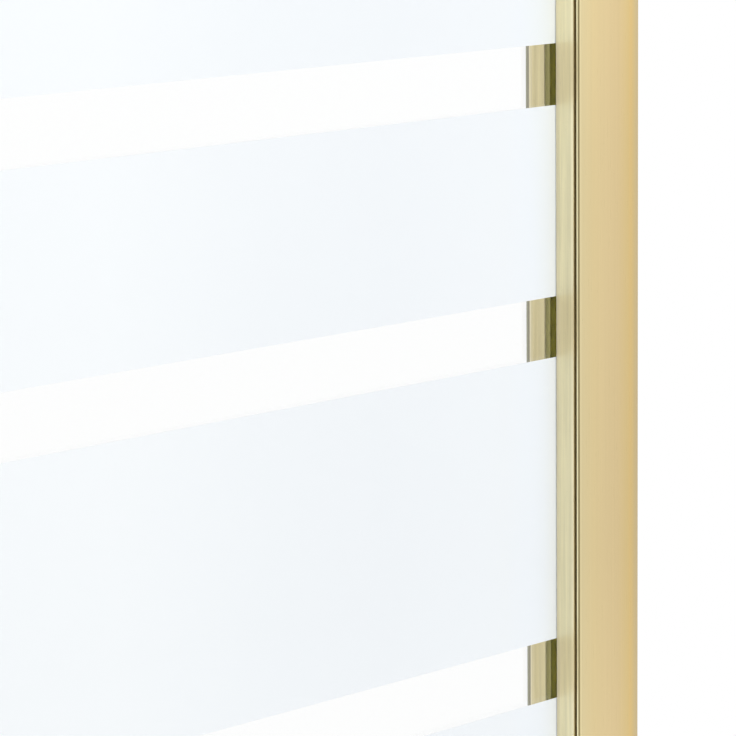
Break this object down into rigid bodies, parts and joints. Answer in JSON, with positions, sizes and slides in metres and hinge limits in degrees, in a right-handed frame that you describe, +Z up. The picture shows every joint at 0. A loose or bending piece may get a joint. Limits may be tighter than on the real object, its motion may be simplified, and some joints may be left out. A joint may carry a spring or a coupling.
{
  "type": "bath screen",
  "caption": "Fixed glass bath screen with frosted bands, glazed into a gold profile that telescopes in a U-shaped wall channel.",
  "frame": {"origin": "middle of the wall channel's back face, on the wall, half way up", "axes": "+X into the wall, so the screen stands out along -X; -Y towards the room, +Y over the bath; +Z up"},
  "size_m": [0.8, 0.0377, 1.4],
  "materials": {
    "channel_gold": "brushed pale gold, anodised",
    "profile_gold": "brushed pale gold, anodised",
    "cap_gold": "satin pale gold",
    "cover_gold": "satin pale gold",
    "screw_steel": "bright",
    "clear_glass": "polished",
    "frosted_layer": "frosted",
    "gasket_olive": "matt, extruded",
    "block_plastic": "matt",
    "clear_seal": "clear, flexible"
  },
  "bodies": {
    "wall_side": {"wall_channel": "channel_gold", "channel_top_cap": "cap_gold", "channel_foot_cap": "cap_gold"},
    "screen": {"glazing_profile": "profile_gold", "profile_top_cap": "cap_gold", "profile_foot_cap": "cap_gold", "cap_screws": "screw_steel", "glass_pane": "clear_glass", "front_gasket": "gasket_olive", "wedge_gasket": "gasket_olive", "setting_blocks": "block_plastic", "glass_rest_block": "block_plastic", "bottom_seal": "clear_seal", "locking_screws": "screw_steel", "locking_washers": "screw_steel", "screw_covers": "cover_gold", "frosted_band_1": "frosted_layer", "frosted_band_2": "frosted_layer", "frosted_band_3": "frosted_layer", "frosted_band_4": "frosted_layer", "frosted_band_5": "frosted_layer", "frosted_band_6": "frosted_layer"}
  },
  "joints": [
    {"name": "width_adjustment", "type": "slide", "parent": "wall_side", "child": "screen", "axis": [-1, 0, 0], "range_m": [0, 0.02]}
  ]
}
